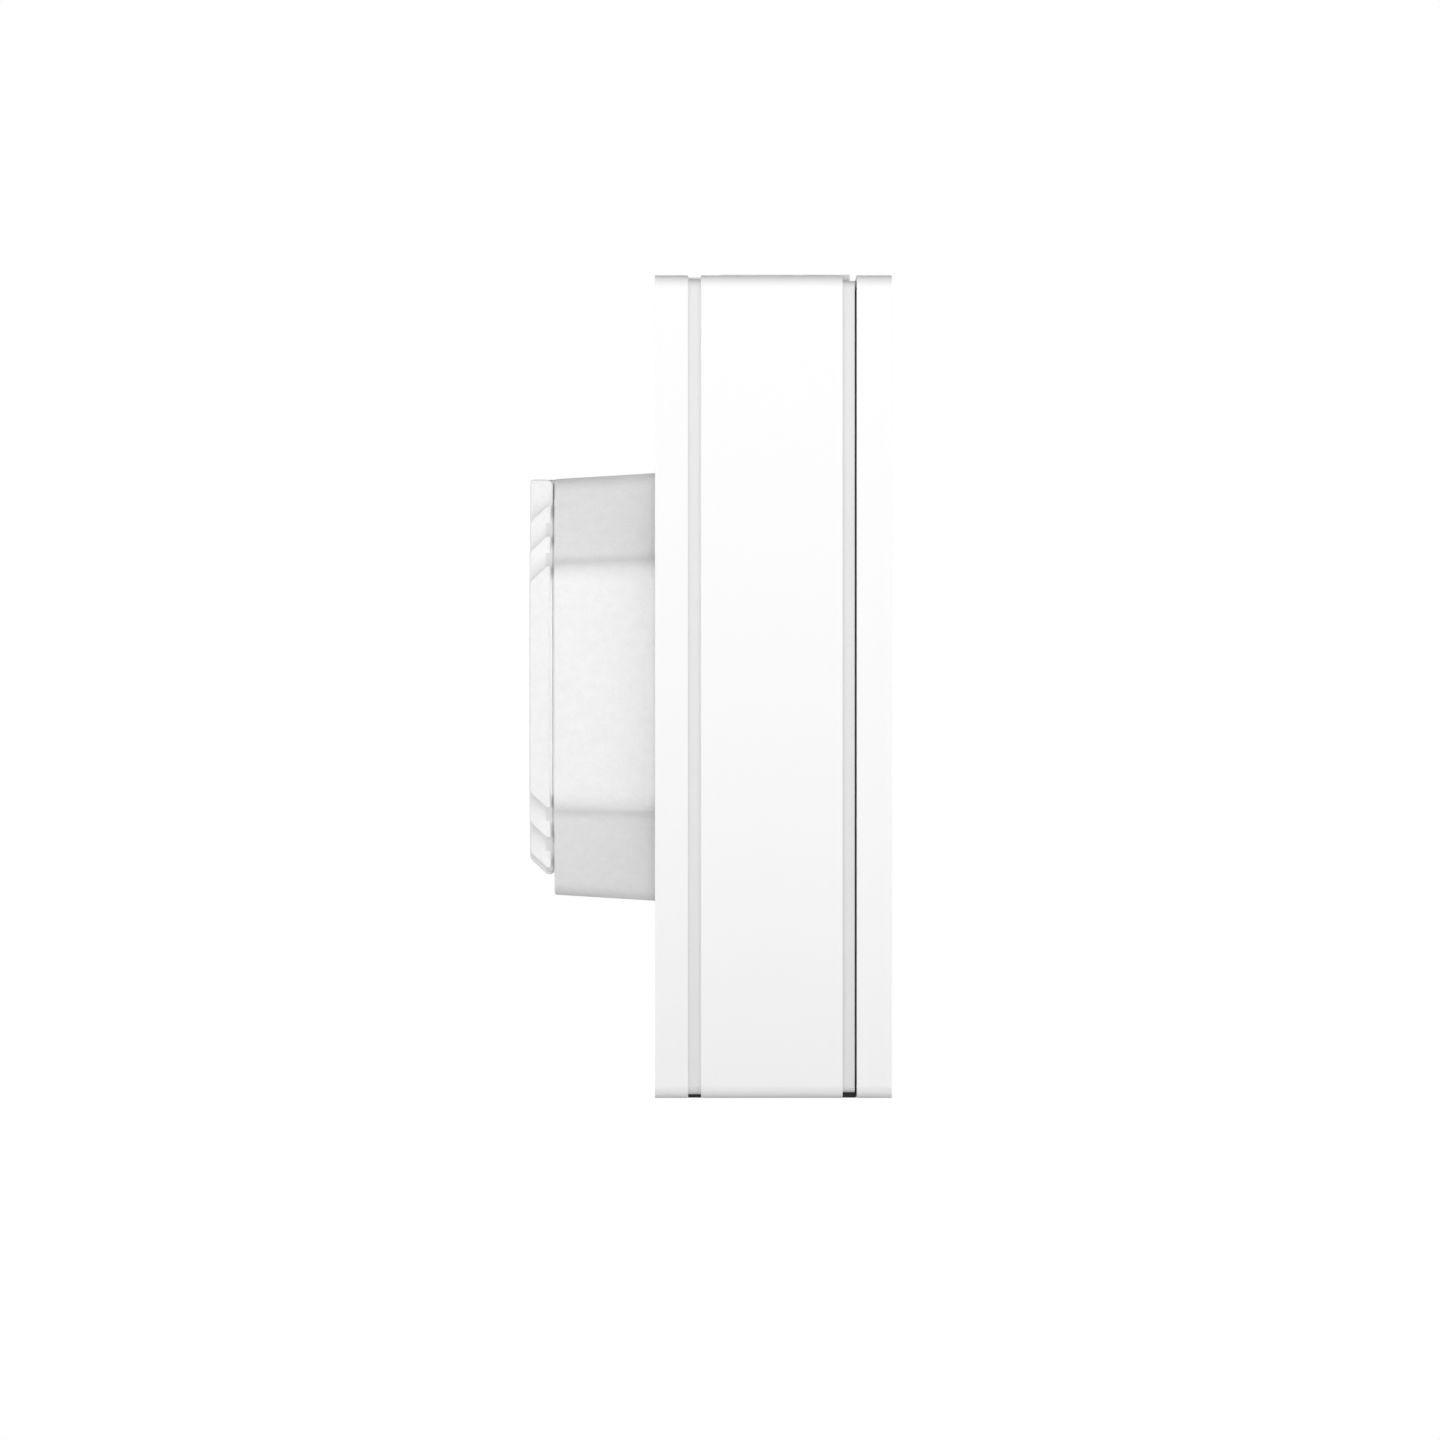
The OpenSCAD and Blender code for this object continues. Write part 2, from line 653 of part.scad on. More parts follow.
module ircut_coil() color("chocolate")
    translate([0, -20.5, camera_z + 12.1]) {
        rod_x(2.05, 7);
        rod_x(0.8, 11);
        for (s = [-1, 1]) bar([s * 5 - 0.5, -1, -2.1], [s * 5 + 0.5, 1, 1]);
    }

module image_sensor() color("darkslategray")
    at(0, camera_z) bar([-4.5, -17.3, -4.5], [4.5, -16.4, 4.5]);

module camera_board() color("green")
    at(0, camera_z) bar([-13, -16.4, -12], [13, -15.2, 12]);

module camera_ribbon() color("peru")
    ribbon([[-15.05, camera_z - 4], [-13.6, camera_z - 4], [-12.4, camera_z - 6], [-12.4, 19.4],
        [-13.6, 18.4], [-21, 18.4], [-22.6, 17.8], [-22.85, 16.5]], 0.3, 10);

module ir_led_board() color("green")
    slab(-28.6, -27.6) translate([0, camera_z]) difference() {
        round_rect(44, 24, 2);
        circle(9);
        for (s = [-1, 1]) translate([s * holder_ear_x, 0]) circle(2.1);
    }

module ir_leds() color("lightgray")
    for (x = [-led_x, led_x], i = [-1 : 1]) at(x, camera_z + i * led_pitch) {
        rod_y(1.5, -30.4, -28.6);
        translate([0, -30.4, 0]) intersection() {
            sphere(1.5);
            rod_y(1.5, -32, 0);
        }
    }

// ---------- sensors and sound ----------

module pir_sensor() color("silver")
    at(0, pir_z) {
        rod_y(4.4, -29, y_main_board);
        rod_y(4.8, -25.1, y_main_board);
    }

module microphone() color("gold")
    at(mic_x, mic_z) difference() {
        bar([-1.9, -25.7, -1.5], [1.9, y_main_board, 1.5]);
        rod_y(0.35, -26, -25.3);
    }

module mic_boot() color("dimgray")
    at(mic_x, mic_z) difference() {
        rod_y(2.8, y_seam_front, -25.7);
        rod_y(0.7, y_seam_front - 1, -25);
    }

module speaker_gasket() color("dimgray")
    at(0, speaker_z) difference() {
        rod_y(9.6, y_seam_front, -28.8);
        rod_y(8.3, y_seam_front - 1, -28);
    }

module speaker_frame() color("silver")
    at(0, speaker_z) difference() {
        union() {
            rod_y(9.6, -28.8, -23.7);
            rod_y(5.4, -24, -20.7);
        }
        rod_y(8.3, -29, -24.5);
        rod_y(3.5, -25, -22);
        rod_y(4.9, -23.6, -21.2);
        for (a = [0 : 60 : 300]) at(6.6 * cos(a), 6.6 * sin(a)) rod_y(0.9, -25, -23);
    }

module speaker_magnet() color("gray")
    at(0, speaker_z) rod_y(2.6, -24.8, -21.2);

module speaker_cone() color("black")
    at(0, speaker_z) {
        difference() {
            intersection() {
                rod_y(7.9, -28.3, -26.5);
                translate([0, -28.3 + 24, 0]) sphere(24, $fn = 96);
            }
            translate([0, -28 + 24, 0]) sphere(24, $fn = 96);
        }
        difference() {
            rod_y(3.2, -27.9, -22.8);
            rod_y(2.85, -29, -22);
        }
    }

// ---------- electronics ----------

module main_board() color("darkgreen")
    difference() {
        bar([-29, y_main_board, -36], [29, y_main_back, 20]);
        for (x = [-post_x, post_x], z = [post_bottom_z, post_top_z])
            at(x, z) rod_y(screw_pass_r, y_main_board - 1, y_main_back + 1);
        bar([-30, y_main_board - 1, 19], [-25, y_main_back + 1, 21]);
    }

module soc() color([0.12, 0.12, 0.13])
    at(0, -8) bar([-7, y_main_back, -7], [7, y_main_back + 1.2, 7]);

module shield_can() color("silver")
    at(0, -8) difference() {
        bar([-12, y_main_back, -12], [12, y_main_back + 2.2, 12]);
        bar([-11.7, y_main_back - 1, -11.7], [11.7, y_main_back + 1.9, 11.7]);
    }

module heat_spreader() color("lightsteelblue") {
    y0 = y_main_back + 3;
    slab(y0, y0 + 1.5) translate([0, -7]) round_rect(48, 42, 2);
    at(0, -7) corners(21, 18) bar([-2, y_main_back, -1.5], [2, y0 + eps, 1.5]);
    at(0, -8) bar([-9, y_main_back + 2.25, -9], [9, y0 + eps, 9]);
}

module power_board() color("darkgreen")
    difference() {
        slab(-2, -0.4) octagon(39, 57, 13);
        corners(power_post_x, power_post_z) rod_y(screw_pass_r, -3, 1);
    }

module transformer() color("goldenrod")
    at(0, 8) {
        bar([-8, -11, -8], [8, -2, -5]);
        bar([-8, -11, 5], [8, -2, 8]);
        bar([-8, -8.5, -5 - eps], [8, -4.5, 5 + eps]);
        rod_y(4.7, -10.6, -2);
    }

module filter_capacitors() color("navy")
    for (s = [-1, 1]) at(s * 7, -10) {
        rod_y(4, -11, -2);
        rod_y(3.7, -11.3, -2);
    }

module power_harness() color("firebrick")
    ribbon([[-2.1, -23.5], [-5, -23.5], [-8, -25.5], [-14, -29.6], [-20.4, -31.8], [-22.9, -31.8]], 1, 6);

module backup_cell() color("slateblue")
    translate([-23, setup_y, 24]) {
        cylinder(r = 5.5, h = 25);
        translate([0, 0, 24]) cylinder(r = 4.6, h = 1.6);
    }

module wifi_antenna() color("darkkhaki")
    bar([-20, -25, 58.2], [20, -11, 58.8]);

// ---------- setup button ----------

module setup_button() color("whitesmoke") {
    length = 3.1;
    translate([setup_x, setup_y, z_setup_plunger - setup_travel - stop_gap - length]) {
        cylinder(r = 1.5, h = length);
        translate([0, 0, 2.1]) cylinder(r = 2.6, h = 0.7);
    }
}

module setup_switch() color("black")
    translate([setup_x, setup_y, z_setup_plunger]) {
        cylinder(r = 1.2, h = 0.6);
        translate([-3, -3, 0.5]) cube([6, 6, 2.5]);
    }

module io_board() color("green")
    bar([11, -22, -54.1], [24.5, -11.5, -53]);

// ---------- fasteners ----------

module m2_screws() color("silver") {
    corners(chassis_screw_x, chassis_screw_z) translate([0, y_chassis + 1.3, 0]) m2_screw();
    corners(box_screw_x, box_screw_z) translate([0, y_flange, 0]) m2_screw();
    corners(power_post_x, power_post_z) translate([0, -2, 0]) m2_screw();
    for (x = [-post_x, post_x], z = [post_bottom_z, post_top_z])
        translate([x, y_main_back, z]) rotate([0, 0, 180]) m2_screw();
    for (s = [-1, 1]) translate([s * holder_ear_x, -22.6, camera_z]) rotate([0, 0, 180]) m2_screw();
}

module security_screw() color("silver")
    translate([0, security_y, -body_h / 2]) difference() {
        union() {
            intersection() {
                translate([0, 0, -0.2]) cylinder(r = 1.4, h = 1.2);
                translate([0, 0, 3.8]) sphere(4);
            }
            cylinder(r = screw_r, h = 4.6);
        }
        translate([0, 0, -1]) cylinder(r = 0.6, h = 1.7, $fn = 6);
    }

wall_bracket();
rear_gasket();
drip_seals();
main_housing();
front_gasket();
front_chassis();
faceplate();
camera_window();
pir_lens();
in_wall_box();
terminal_cover();
hinge_pin();
rj45_jack();
terminal_block();
terminal_screws();
button_cap();
light_ring();
button_seal();
button_spring();
button_board();
tact_switch();
ring_leds();
lens_barrel();
lens_element();
lens_seal();
lens_holder();
ircut_carriage();
ircut_filter();
ircut_coil();
image_sensor();
camera_board();
camera_ribbon();
ir_led_board();
ir_leds();
pir_sensor();
microphone();
mic_boot();
speaker_frame();
speaker_magnet();
speaker_cone();
speaker_gasket();
main_board();
soc();
shield_can();
heat_spreader();
power_board();
transformer();
filter_capacitors();
power_harness();
backup_cell();
wifi_antenna();
antenna_cover();
top_latch();
latch_spring();
setup_button();
setup_switch();
io_board();
m2_screws();
security_screw();
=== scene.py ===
"""The video doorbell's looks: refined shells, finishes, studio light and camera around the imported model."""

import json
import math

import bmesh
import bpy
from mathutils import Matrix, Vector
from mathutils.geometry import tessellate_polygon


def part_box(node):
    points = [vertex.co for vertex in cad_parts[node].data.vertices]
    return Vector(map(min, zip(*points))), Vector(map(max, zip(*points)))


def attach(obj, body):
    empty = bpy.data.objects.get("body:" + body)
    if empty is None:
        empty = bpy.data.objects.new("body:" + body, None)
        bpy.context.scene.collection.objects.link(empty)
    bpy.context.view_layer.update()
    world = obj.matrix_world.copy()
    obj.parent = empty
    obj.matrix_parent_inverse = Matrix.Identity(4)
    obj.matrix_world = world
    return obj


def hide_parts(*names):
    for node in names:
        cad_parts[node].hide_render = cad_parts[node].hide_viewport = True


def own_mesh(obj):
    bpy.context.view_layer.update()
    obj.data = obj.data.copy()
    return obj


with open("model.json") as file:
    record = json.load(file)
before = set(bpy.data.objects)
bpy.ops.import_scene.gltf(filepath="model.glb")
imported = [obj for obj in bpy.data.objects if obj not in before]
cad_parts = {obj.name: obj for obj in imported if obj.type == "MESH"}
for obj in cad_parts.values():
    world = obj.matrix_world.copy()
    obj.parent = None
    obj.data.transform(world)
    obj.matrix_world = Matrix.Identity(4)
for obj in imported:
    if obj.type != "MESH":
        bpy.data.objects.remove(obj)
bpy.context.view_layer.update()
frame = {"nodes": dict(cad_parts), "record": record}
nodes = frame["nodes"]

MM = 0.001

# ---------- places, from the frame ----------


def node_box(name):
    """Lowest and highest corner of a CAD node, in millimetres."""
    lo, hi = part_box(name)
    return lo / MM, hi / MM


bracket_lo = node_box("wall_bracket")[0]
housing_hi = node_box("main_housing")[1]
face_lo = node_box("faceplate")[0]
window_lo, window_hi = node_box("camera_window")
pir_lo, pir_hi = node_box("pir_lens")


# ---------- camera ----------

def make_camera():
    """Level and far away, looking along +X at the doorbell's side."""
    distance = 3.0
    view_width = 213.4 * MM
    side_plane = bracket_lo.x * MM
    aim_y, aim_z = -9.63 * MM, -4.95 * MM
    data = bpy.data.cameras.new("camera")
    data.sensor_width = 36
    data.lens = data.sensor_width * distance / view_width
    data.clip_start = 0.1
    data.clip_end = 50
    camera = bpy.data.objects.new("camera", data)
    camera.location = (side_plane - distance, aim_y, aim_z)
    camera.rotation_euler = (math.radians(90), 0, math.radians(-90))
    bpy.context.collection.objects.link(camera)
    bpy.context.scene.camera = camera


# ---------- node helpers ----------

class Tree:
    """A small wrapper that adds shader nodes and links them."""

    def __init__(self, tree):
        self.tree = tree
        tree.nodes.clear()

    def add(self, kind, **settings):
        node = self.tree.nodes.new(kind)
        for key, value in settings.items():
            setattr(node, key, value)
        return node

    def join(self, source, target):
        self.tree.links.new(source, target)


def grey(value):
    """The opaque grey of this value."""
    return (value, value, value, 1)


def tint(colour, factor):
    """The opaque colour, made lighter or darker by factor."""
    return tuple(min(1, c * factor) for c in colour[:3]) + (1,)


COAT_ROUGHNESS = 0.12
# How far the roughness strays from its value, as a share of it
ROUGHNESS_SPREAD = 0.12
# Convexity at which worn edges start to show, and at which they show fully
WEAR_FROM = 0.52
WEAR_FULL = 0.62
WEAR_TINT = 1.35


def finish_material(name, colour, roughness, metallic=0.0, grain=1200, grain_depth=0.01, mottling=0.03,
                    cloud=90, sheen=0.0, coat=0.0, transmission=0.0, ior=1.5, emission=0.0, wear=0.0,
                    stretch=(1, 1, 1), subsurface=0.0):
    """A Principled material whose tone, roughness and relief come from noise at two scales."""
    mat = bpy.data.materials.new(name)
    mat.use_nodes = True
    t = Tree(mat.node_tree)
    out = t.add("ShaderNodeOutputMaterial")
    shader = t.add("ShaderNodeBsdfPrincipled")
    shader.inputs["Metallic"].default_value = metallic
    shader.inputs["IOR"].default_value = ior
    shader.inputs["Transmission Weight"].default_value = transmission
    shader.inputs["Sheen Weight"].default_value = sheen
    shader.inputs["Coat Weight"].default_value = coat
    shader.inputs["Coat Roughness"].default_value = COAT_ROUGHNESS
    shader.inputs["Subsurface Weight"].default_value = subsurface
    if emission:
        shader.inputs["Emission Color"].default_value = tint(colour, 1)
        shader.inputs["Emission Strength"].default_value = emission
    place = t.add("ShaderNodeTexCoord")
    mapping = t.add("ShaderNodeMapping")
    mapping.inputs["Scale"].default_value = stretch
    t.join(place.outputs["Object"], mapping.inputs["Vector"])

    clouds = t.add("ShaderNodeTexNoise")
    clouds.inputs["Scale"].default_value = cloud
    clouds.inputs["Detail"].default_value = 3
    grains = t.add("ShaderNodeTexNoise")
    grains.inputs["Scale"].default_value = grain
    grains.inputs["Detail"].default_value = 4
    grains.inputs["Roughness"].default_value = 0.6
    for noise in (clouds, grains):
        t.join(mapping.outputs["Vector"], noise.inputs["Vector"])

    blend = t.add("ShaderNodeMath", operation="MULTIPLY_ADD")
    blend.inputs[1].default_value = 0.5
    half = t.add("ShaderNodeMath", operation="MULTIPLY")
    half.inputs[1].default_value = 0.5
    t.join(grains.outputs["Fac"], half.inputs[0])
    t.join(clouds.outputs["Fac"], blend.inputs[0])
    t.join(half.outputs["Value"], blend.inputs[2])

    tone = t.add("ShaderNodeValToRGB")
    tone.color_ramp.elements[0].position = 0.3
    tone.color_ramp.elements[1].position = 0.7
    tone.color_ramp.elements[0].color = tint(colour, 1 - mottling)
    tone.color_ramp.elements[1].color = tint(colour, 1 + mottling * 0.4)
    t.join(blend.outputs["Value"], tone.inputs["Fac"])
    base = tone.outputs["Color"]
    if wear:
        geometry = t.add("ShaderNodeNewGeometry")
        edge = t.add("ShaderNodeMapRange")
        edge.inputs["From Min"].default_value = WEAR_FROM
        edge.inputs["From Max"].default_value = WEAR_FULL
        edge.inputs["To Max"].default_value = wear
        t.join(geometry.outputs["Pointiness"], edge.inputs["Value"])
        mix = t.add("ShaderNodeMix", data_type="RGBA")
        mix.inputs["B"].default_value = tint(colour, WEAR_TINT)
        t.join(edge.outputs["Result"], mix.inputs["Factor"])
        t.join(base, mix.inputs["A"])
        base = mix.outputs["Result"]
    t.join(base, shader.inputs["Base Color"])

    gloss = t.add("ShaderNodeMapRange")
    gloss.inputs["To Min"].default_value = max(0.02, roughness * (1 - ROUGHNESS_SPREAD))
    gloss.inputs["To Max"].default_value = min(1, roughness * (1 + ROUGHNESS_SPREAD))
    t.join(blend.outputs["Value"], gloss.inputs["Value"])
    t.join(gloss.outputs["Result"], shader.inputs["Roughness"])

    bump = t.add("ShaderNodeBump")
    bump.inputs["Strength"].default_value = 1.0
    bump.inputs["Distance"].default_value = grain_depth * MM
    t.join(grains.outputs["Fac"], bump.inputs["Height"])
    t.join(bump.outputs["Normal"], shader.inputs["Normal"])
    t.join(shader.outputs["BSDF"], out.inputs["Surface"])
    return mat


WHITE = (0.945, 0.945, 0.945)

FINISHES = {
    "housing_white": dict(colour=WHITE, roughness=0.42, grain=1500, grain_depth=0.004, mottling=0.008),
    "faceplate_white": dict(colour=WHITE, roughness=0.4, grain=1500, grain_depth=0.004, mottling=0.008),
    "bracket_white": dict(colour=WHITE, roughness=0.45, grain=1400, grain_depth=0.004, mottling=0.01),
    "bead_white": dict(colour=(0.95, 0.95, 0.95), roughness=0.8, grain=2600, grain_depth=0.09, mottling=0.05,
                       cloud=700),
    "seal_grey": dict(colour=(0.80, 0.80, 0.805), roughness=0.6, grain=3000, grain_depth=0.01, mottling=0.02,
                      cloud=200),
    # seal_black darkens the seal pieces at the seams' lower ends: painted shade, a near-black piece standing
    # in for the shadow in the recess
    "seal_black": dict(colour=(0.02, 0.02, 0.02), roughness=0.85, grain=2500, grain_depth=0.05, mottling=0.3,
                       cloud=800),
    "chassis_grey": dict(colour=(0.045, 0.046, 0.05), roughness=0.55, grain=2200, grain_depth=0.02,
                         mottling=0.15, wear=0.4),
    "window_glass": dict(colour=(0.75, 0.76, 0.8), roughness=0.02, grain=60, grain_depth=0.0001,
                         mottling=0.02, transmission=1.0, ior=1.36),
    "pir_white": dict(colour=(0.86, 0.86, 0.85), roughness=0.35, grain=900, grain_depth=0.01, mottling=0.02,
                      subsurface=0.2),
    "button_white": dict(colour=(0.93, 0.93, 0.93), roughness=0.3, grain=1800, grain_depth=0.003,
                         mottling=0.01, coat=0.3),
    "ring_diffuser": dict(colour=(0.80, 0.90, 0.98), roughness=0.5, grain=1500, grain_depth=0.01,
                          mottling=0.02, emission=0.25),
    "latch_white": dict(colour=(0.92, 0.92, 0.92), roughness=0.5, grain=2000, grain_depth=0.008,
                        mottling=0.02),
    "steel": dict(colour=(0.62, 0.62, 0.63), roughness=0.3, metallic=1.0, grain=900, grain_depth=0.004,
                  mottling=0.08, stretch=(1, 1, 6), wear=0.3),
    "window_print": dict(colour=(0.02, 0.02, 0.022), roughness=0.35, grain=900, grain_depth=0.001,
                         mottling=0.05),
    "spring_steel": dict(colour=(0.5, 0.5, 0.52), roughness=0.25, metallic=1.0, grain=2500,
                         grain_depth=0.004, mottling=0.1),
    "jack_steel": dict(colour=(0.68, 0.68, 0.69), roughness=0.32, metallic=1.0, grain=700,
                       grain_depth=0.006, mottling=0.08, stretch=(1, 1, 8), wear=0.3),
    "terminal_green": dict(colour=(0.03, 0.24, 0.11), roughness=0.4, grain=1800, grain_depth=0.01,
                           mottling=0.08, wear=0.2),
    "black_plastic": dict(colour=(0.025, 0.025, 0.027), roughness=0.5, grain=2600, grain_depth=0.02,
                          mottling=0.2, wear=0.3),
    "board_green": dict(colour=(0.012, 0.13, 0.05), roughness=0.35, grain=1200, grain_depth=0.01,
                        mottling=0.35, cloud=500, coat=0.4),
    "led_clear": dict(colour=(0.82, 0.84, 0.86), roughness=0.12, grain=900, grain_depth=0.002,
                      mottling=0.03, transmission=0.5, ior=1.45),
    "lens_glass": dict(colour=(0.08, 0.10, 0.22), roughness=0.02, grain=300, grain_depth=0.0005,
                       mottling=0.05, transmission=0.6, ior=1.6, coat=0.8),
    "filter_glass": dict(colour=(0.45, 0.72, 0.85), roughness=0.03, grain=300, grain_depth=0.0005,
                         mottling=0.03, transmission=0.8, ior=1.5),
    "copper_coil": dict(colour=(0.60, 0.24, 0.09), roughness=0.3, metallic=0.8, grain=2400,
                        grain_depth=0.06, mottling=0.25, stretch=(12, 1, 1)),
    "sensor_die": dict(colour=(0.05, 0.09, 0.12), roughness=0.1, grain=3000, grain_depth=0.003,
                       mottling=0.3, coat=0.7),
    "ribbon_amber": dict(colour=(0.50, 0.22, 0.05), roughness=0.28, grain=1500, grain_depth=0.01,
                         mottling=0.15, coat=0.5, stretch=(8, 1, 1)),
    "mic_gold": dict(colour=(0.78, 0.58, 0.25), roughness=0.25, metallic=1.0, grain=2200,
                     grain_depth=0.004, mottling=0.08),
    "cone_black": dict(colour=(0.03, 0.03, 0.032), roughness=0.75, grain=3000, grain_depth=0.05,
                       mottling=0.3, sheen=0.2),
    "magnet_grey": dict(colour=(0.35, 0.35, 0.37), roughness=0.35, metallic=1.0, grain=1500,
                        grain_depth=0.006, mottling=0.12),
    "chip_black": dict(colour=(0.03, 0.03, 0.033), roughness=0.6, grain=3500, grain_depth=0.02,
                       mottling=0.25),
    "spreader_alu": dict(colour=(0.72, 0.73, 0.75), roughness=0.38, metallic=1.0, grain=800,
                         grain_depth=0.01, mottling=0.08, stretch=(10, 1, 1), wear=0.2),
    "transformer_tape": dict(colour=(0.74, 0.52, 0.06), roughness=0.3, grain=1200, grain_depth=0.02,
                             mottling=0.12, coat=0.4),
    "capacitor_sleeve": dict(colour=(0.02, 0.04, 0.14), roughness=0.25, grain=1500, grain_depth=0.008,
                             mottling=0.15, coat=0.5),
    "wire_red": dict(colour=(0.42, 0.03, 0.025), roughness=0.4, grain=1500, grain_depth=0.03,
                     mottling=0.12, stretch=(6, 1, 1)),
    "cell_sleeve": dict(colour=(0.06, 0.09, 0.30), roughness=0.25, grain=1200, grain_depth=0.008,
                        mottling=0.12, coat=0.5),
}

MATERIALS = {}


def material_of(slot):
    """The finish of this name, made when it's first asked for."""
    if slot not in MATERIALS:
        MATERIALS[slot] = finish_material(slot, **FINISHES[slot])
    return MATERIALS[slot]


SLOTS = {row["node"]: row["material_slot"] for row in frame["record"]["subparts"]}


# ---------- world, floor ----------

# Strength of the light from the sides and from overhead
WORLD_SIDE = 3.36
WORLD_TOP = 0.15
# Share of a direction's Y part that counts as turning away from the sides
WORLD_FRONT = 0.5
# Turn away from the sides, on a scale of 0 to 1, at which the light is as dim as overhead
WORLD_REACH = 0.8


def make_world():
    """Soft white studio: brightest to the sides, dimmer in front and behind, dimmest overhead."""
    world = bpy.data.worlds.new("studio")
    bpy.context.scene.world = world
    world.use_nodes = True
    t = Tree(world.node_tree)
    place = t.add("ShaderNodeTexCoord")
    squeeze = t.add("ShaderNodeVectorMath", operation="MULTIPLY")
    squeeze.inputs[1].default_value = (0, WORLD_FRONT, 1)
    t.join(place.outputs["Generated"], squeeze.inputs[0])
    away = t.add("ShaderNodeVectorMath", operation="LENGTH")
    t.join(squeeze.outputs["Vector"], away.inputs[0])
    glow = t.add("ShaderNodeMapRange", interpolation_type="SMOOTHSTEP")
    glow.inputs["From Max"].default_value = WORLD_REACH
    glow.inputs["To Min"].default_value = WORLD_SIDE
    glow.inputs["To Max"].default_value = WORLD_TOP
    t.join(away.outputs["Value"], glow.inputs["Value"])
    light = t.add("ShaderNodeBackground")
    t.join(glow.outputs["Result"], light.inputs["Strength"])
    behind = t.add("ShaderNodeBackground")
    behind.inputs["Color"].default_value = grey(1)
    ray = t.add("ShaderNodeLightPath")
    mix = t.add("ShaderNodeMixShader")
    out = t.add("ShaderNodeOutputWorld")
    t.join(ray.outputs["Is Camera Ray"], mix.inputs["Fac"])
    t.join(light.outputs["Background"], mix.inputs[1])
    t.join(behind.outputs["Background"], mix.inputs[2])
    t.join(mix.outputs["Shader"], out.inputs["Surface"])


FLOOR_Z = -130 * MM
FLOOR_R = 0.42
FLOOR_TONE = 0.25
# Glow of the floor on the things above it, and as the camera sees it
FLOOR_GLOW = 0.24
FLOOR_GLOW_SEEN = 0.55


def make_floor():
    """A pale round floor below the view, staged apart from the model."""
    bm = bmesh.new()
    bmesh.ops.create_circle(bm, cap_ends=True, segments=128, radius=FLOOR_R)
    mesh = bpy.data.meshes.new("floor")
    bm.to_mesh(mesh)
    bm.free()
    floor = bpy.data.objects.new("floor", mesh)
    floor.location.z = FLOOR_Z
    bpy.context.collection.objects.link(floor)
    mat = bpy.data.materials.new("floor_pale")
    mat.use_nodes = True
    t = Tree(mat.node_tree)
    shader = t.add("ShaderNodeBsdfPrincipled")
    shader.inputs["Base Color"].default_value = grey(FLOOR_TONE)
    shader.inputs["Roughness"].default_value = 0.9
    shader.inputs["Emission Color"].default_value = grey(1)
    ray = t.add("ShaderNodeLightPath")
    glow = t.add("ShaderNodeMapRange")
    glow.inputs["To Min"].default_value = FLOOR_GLOW
    glow.inputs["To Max"].default_value = FLOOR_GLOW_SEEN
    t.join(ray.outputs["Is Camera Ray"], glow.inputs["Value"])
    t.join(glow.outputs["Result"], shader.inputs["Emission Strength"])
    out = t.add("ShaderNodeOutputMaterial")
    t.join(shader.outputs["BSDF"], out.inputs["Surface"])
    mesh.materials.append(mat)


# ---------- outlines and shells, all in millimetres ----------

def rounding(a, b, c, radius, steps):
    """Points and outward normals of the arc that rounds corner b of a counter-clockwise outline."""
    u, v = (a - b).normalized(), (c - b).normalized()
    half = math.acos(u.dot(v)) / 2
    centre = b + (u + v).normalized() * (radius / math.sin(half))
    start = b + u * (radius / math.tan(half)) - centre
    stop = b + v * (radius / math.tan(half)) - centre
    first = math.atan2(start.y, start.x)
    turn = (math.atan2(stop.y, stop.x) - first + math.pi) % (2 * math.pi) - math.pi
    outward = 1 if turn > 0 else -1
    arc = []
    for i in range(steps + 1):
        angle = first + turn * i / steps
        ray = Vector((math.cos(angle), math.sin(angle)))
        arc.append((centre + ray * radius, ray * outward))
    return arc


def rounded_outline(corners, radii, steps=8):
    """Points and outward normals of an outline with each of its corners rounded."""
    points = [Vector(corner) for corner in corners]
    outline = []
    for i, point in enumerate(points):
        outline += rounding(points[i - 1], point, points[(i + 1) % len(points)], radii[i], steps)
    return outline


def circle_outline(radius, steps=96):
    outline = []
    for i in range(steps):
        angle = 2 * math.pi * i / steps
        ray = Vector((math.cos(angle), math.sin(angle)))
        outline.append((ray * radius, ray))
    return outline


def rect_outline(half_w, half_h, radius, steps=8):
    corners = [(half_w, -half_h), (half_w, half_h), (-half_w, half_h), (-half_w, -half_h)]
    return rounded_outline(corners, [radius] * 4, steps)


def shifted(outline, by):
    """The same outline moved in its own plane."""
    return [(point + Vector(by), normal) for point, normal in outline]


def facing_up(u, v, depth):
    """Lays an outline down in the XY plane."""
    return Vector((u, v, depth))


def facing_front(u, v, depth):
    """Stands an outline up in the XZ plane."""
    return Vector((u, depth, v))


def facing_side(u, v, depth):
    """Stands an outline up in the YZ plane."""
    return Vector((depth, u, v))


